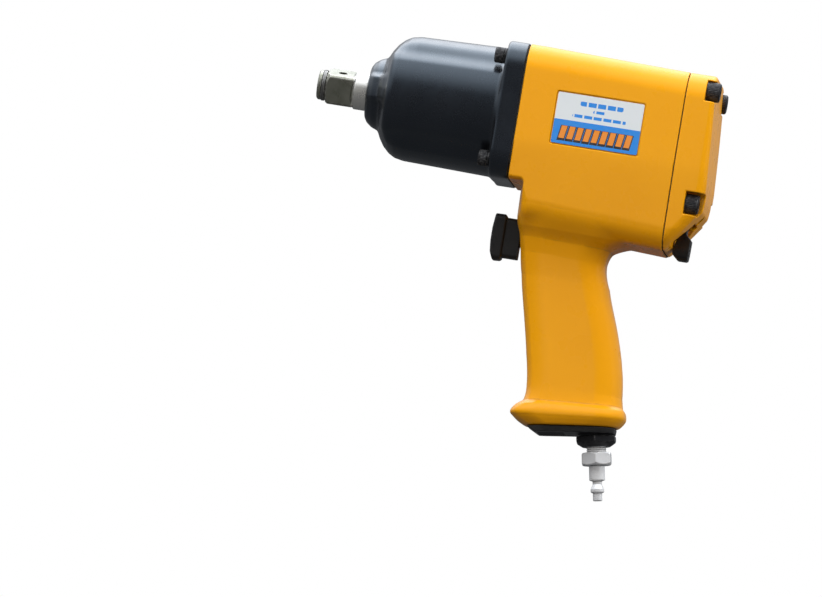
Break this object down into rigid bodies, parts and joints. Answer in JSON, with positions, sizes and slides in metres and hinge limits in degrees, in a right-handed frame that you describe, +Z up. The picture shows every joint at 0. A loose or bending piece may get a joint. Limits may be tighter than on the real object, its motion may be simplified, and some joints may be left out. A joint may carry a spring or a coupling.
{
  "type": "impact wrench",
  "caption": "Pistol-grip air impact wrench with a square drive, hammer case, motor housing, trigger, reverse lever and air inlet.",
  "frame": {"origin": "centre of the square drive's end face, on the drive's axis", "axes": "-X out of the drive's end, +X to the rear along the motor, +Z up away from the handle, name plate on the -Y side"},
  "size_m": [0.2532, 0.086, 0.2738],
  "materials": {
    "yellow_paint": "gloss",
    "black_enamel": "gloss",
    "black_oxide": "satin",
    "black_plastic": "matte",
    "polished_steel": "gloss",
    "dark_steel": "satin",
    "nickel": "gloss",
    "bronze": "satin",
    "gasket_paper": "matte",
    "rubber": "matte",
    "printed_label": "gloss",
    "vane_laminate": "satin"
  },
  "bodies": {
    "housing": {"air_plug": "nickel", "anvil_bushing": "bronze", "back_cover": "yellow_paint", "cylinder": "dark_steel", "detent_ball": "polished_steel", "detent_spring": "polished_steel", "exhaust_deflector": "black_plastic", "front_bearing_outer": "polished_steel", "front_end_plate": "dark_steel", "front_gasket": "gasket_paper", "front_screw_1": "black_oxide", "front_screw_2": "black_oxide", "front_screw_3": "black_oxide", "front_screw_4": "black_oxide", "front_washer_1": "black_oxide", "front_washer_2": "black_oxide", "front_washer_3": "black_oxide", "front_washer_4": "black_oxide", "hammer_case": "black_enamel", "inlet_bushing": "black_oxide", "inlet_screen": "nickel", "motor_housing": "yellow_paint", "name_plate": "printed_label", "plug_adapter": "nickel", "rear_bearing_outer": "polished_steel", "rear_end_plate": "dark_steel", "rear_gasket": "gasket_paper", "rear_screw_1": "black_oxide", "rear_screw_2": "black_oxide", "rear_screw_3": "black_oxide", "rear_screw_4": "black_oxide", "throttle_seat": "bronze", "throttle_spring": "polished_steel", "trigger_bushing": "bronze"},
    "anvil": {"anvil": "polished_steel", "socket_ring": "dark_steel", "socket_o_ring": "rubber"},
    "hammer_cage": {"hammer_cage": "dark_steel", "hammer_pin_1": "dark_steel", "hammer_pin_2": "dark_steel"},
    "rotor": {"rotor": "polished_steel", "vane_1": "vane_laminate", "vane_2": "vane_laminate", "vane_3": "vane_laminate", "vane_4": "vane_laminate", "vane_5": "vane_laminate", "vane_6": "vane_laminate", "front_bearing_inner": "polished_steel", "rear_bearing_inner": "polished_steel"},
    "front_balls": {"front_bearing_balls": "polished_steel"},
    "rear_balls": {"rear_bearing_balls": "polished_steel"},
    "hammer_1": {"hammer_1": "dark_steel"},
    "hammer_2": {"hammer_2": "dark_steel"},
    "trigger": {"trigger_button": "black_plastic", "trigger_pin": "polished_steel", "throttle_valve": "bronze"},
    "reverse_lever": {"reverse_lever": "black_plastic", "reverse_valve": "bronze", "lever_screw": "black_oxide"}
  },
  "joints": [
    {"name": "anvil_spin", "type": "hinge", "parent": "housing", "child": "anvil", "pos_m": [0.03, 0, 0], "axis": [1, 0, 0], "continuous": true},
    {"name": "cage_spin", "type": "hinge", "parent": "housing", "child": "hammer_cage", "pos_m": [0.085, 0, 0], "axis": [1, 0, 0], "continuous": true},
    {"name": "rotor_spin", "type": "hinge", "parent": "housing", "child": "rotor", "pos_m": [0.167, 0, 0], "axis": [1, 0, 0], "continuous": true},
    {"name": "front_balls_spin", "type": "hinge", "parent": "housing", "child": "front_balls", "pos_m": [0.1263, 0, 0], "axis": [1, 0, 0], "continuous": true},
    {"name": "rear_balls_spin", "type": "hinge", "parent": "housing", "child": "rear_balls", "pos_m": [0.2073, 0, 0], "axis": [1, 0, 0], "continuous": true},
    {"name": "hammer_1_swing", "type": "hinge", "parent": "hammer_cage", "child": "hammer_1", "pos_m": [0.0775, 0, 0.0245], "axis": [1, 0, 0], "range_deg": [-6.5, 6.5]},
    {"name": "hammer_2_swing", "type": "hinge", "parent": "hammer_cage", "child": "hammer_2", "pos_m": [0.0922, 0, -0.0245], "axis": [1, 0, 0], "range_deg": [-6.5, 6.5]},
    {"name": "trigger_slide", "type": "slide", "parent": "housing", "child": "trigger", "axis": [1, 0, 0], "range_m": [0, 0.006], "stiffness_N_per_m": 1200, "springref_m": -0.006, "deforming": ["throttle_spring"]},
    {"name": "reverse_lever_turn", "type": "hinge", "parent": "housing", "child": "reverse_lever", "pos_m": [0.24, 0, -0.048], "axis": [1, 0, 0], "range_deg": [-30, 30]}
  ],
  "couplings": [
    {"joint": "rotor_spin", "follows": "cage_spin", "ratio": 1},
    {"joint": "front_balls_spin", "follows": "cage_spin", "ratio": 0.427},
    {"joint": "rear_balls_spin", "follows": "cage_spin", "ratio": 0.427}
  ]
}
